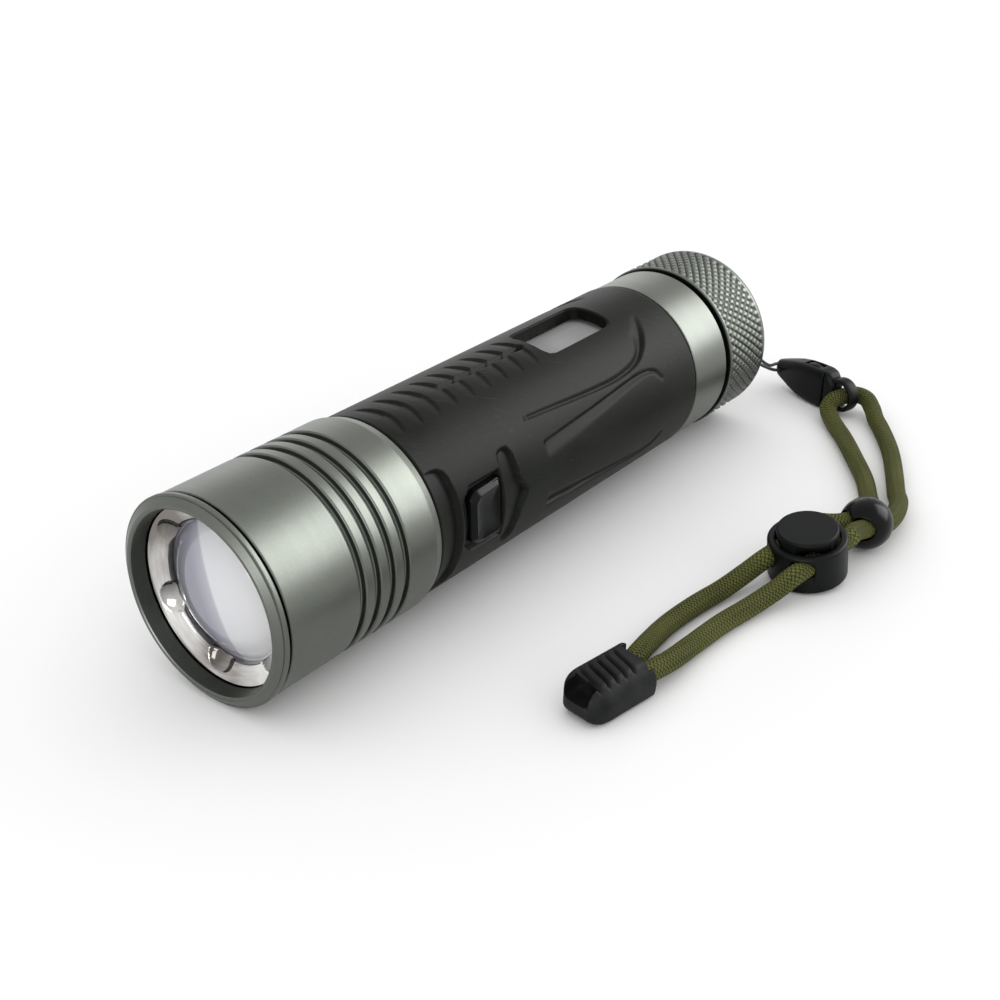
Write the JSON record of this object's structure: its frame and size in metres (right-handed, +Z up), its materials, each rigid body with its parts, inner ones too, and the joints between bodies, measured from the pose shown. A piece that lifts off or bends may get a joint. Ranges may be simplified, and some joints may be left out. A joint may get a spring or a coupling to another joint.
{
  "type": "flashlight",
  "caption": "Zoom torch with a sliding lens head, ribbed grip, side button, screw-on knurled tail cap, and a cord lanyard with buckle, bead and lock.",
  "frame": {"origin": "on the floor under the middle of the torch: the bottom centre of the torch's own box, its lanyard left out", "axes": "+Z up, -Y the way the torch shines, +Y towards its tail cap, +X towards the side button and the lanyard"},
  "size_m": [0.0907, 0.185, 0.04],
  "materials": {
    "gunmetal": "satin anodised, slightly green grey",
    "grip": "fine soft-touch moulding",
    "seal": "matt",
    "mirror": "polished",
    "lens_glass": "clear and polished",
    "brass": "bright",
    "bare_aluminium": "machined",
    "circuit_board": "solder mask",
    "led_board": "white solder mask",
    "phosphor": "clear dome over phosphor",
    "cell": "shrink wrap",
    "black_plastic": "satin moulding",
    "cord": "woven",
    "thread": "twisted"
  },
  "bodies": {
    "tail": {"tail_cap": "gunmetal", "spring_seat": "brass", "tail_spring": "brass", "lanyard_thread": "thread", "buckle_socket": "black_plastic"},
    "tail_seal": {"tail_seal": "seal"},
    "handle": {"battery_tube": "gunmetal", "grip_sleeve": "grip", "battery_cell": "cell", "contact_board": "circuit_board", "front_contact": "brass", "neck_tube": "gunmetal", "zoom_ring": "seal", "led_board": "led_board", "led_emitter": "phosphor", "heat_sink": "bare_aluminium", "driver_board": "circuit_board", "push_switch": "black_plastic", "switch_board": "circuit_board"},
    "head": {"head_barrel": "gunmetal", "bezel_ring": "gunmetal", "bezel_seal": "seal", "lens_ring": "mirror", "lens": "lens_glass", "lens_seal": "seal"},
    "button": {"side_button": "grip", "switch_plunger": "black_plastic"},
    "lanyard": {"buckle_plug": "black_plastic", "lanyard_cord": "cord", "lock_body": "black_plastic", "lock_spring": "brass", "clip_upper": "black_plastic", "clip_lower": "black_plastic"},
    "lock_button": {"lock_button": "black_plastic"},
    "bead": {"cord_bead": "black_plastic"}
  },
  "joints": [
    {"name": "tail_travel", "type": "slide", "parent": "tail", "child": "tail_seal", "axis": [0, -1, 0], "range_m": [0, 0.0075]},
    {"name": "tail_turn", "type": "hinge", "parent": "tail_seal", "child": "handle", "pos_m": [0, 0.0681, 0.02], "axis": [0, -1, 0], "range_deg": [0, 1800]},
    {"name": "zoom", "type": "slide", "parent": "handle", "child": "head", "axis": [0, -1, 0], "range_m": [0, 0.012]},
    {"name": "button_press", "type": "slide", "parent": "handle", "child": "button", "axis": [-0.9997, 0, -0.0262], "range_m": [0, 0.0007], "stiffness_N_per_m": 1500},
    {"name": "buckle_pull", "type": "slide", "parent": "tail", "child": "lanyard", "axis": [0.9593, -0.2823, 0], "range_m": [0, 0.012]},
    {"name": "bead_slide", "type": "slide", "parent": "lanyard", "child": "bead", "axis": [-0.1968, -0.9589, 0.2045], "range_m": [0, 0.0035]},
    {"name": "lock_press", "type": "slide", "parent": "lanyard", "child": "lock_button", "axis": [0.0277, 0.1364, -0.9903], "range_m": [0, 0.0012], "stiffness_N_per_m": 800, "deforming": ["lock_spring"]}
  ],
  "couplings": [
    {"joint": "tail_travel", "follows": "tail_turn", "m_per_rad": 0.00023873}
  ]
}
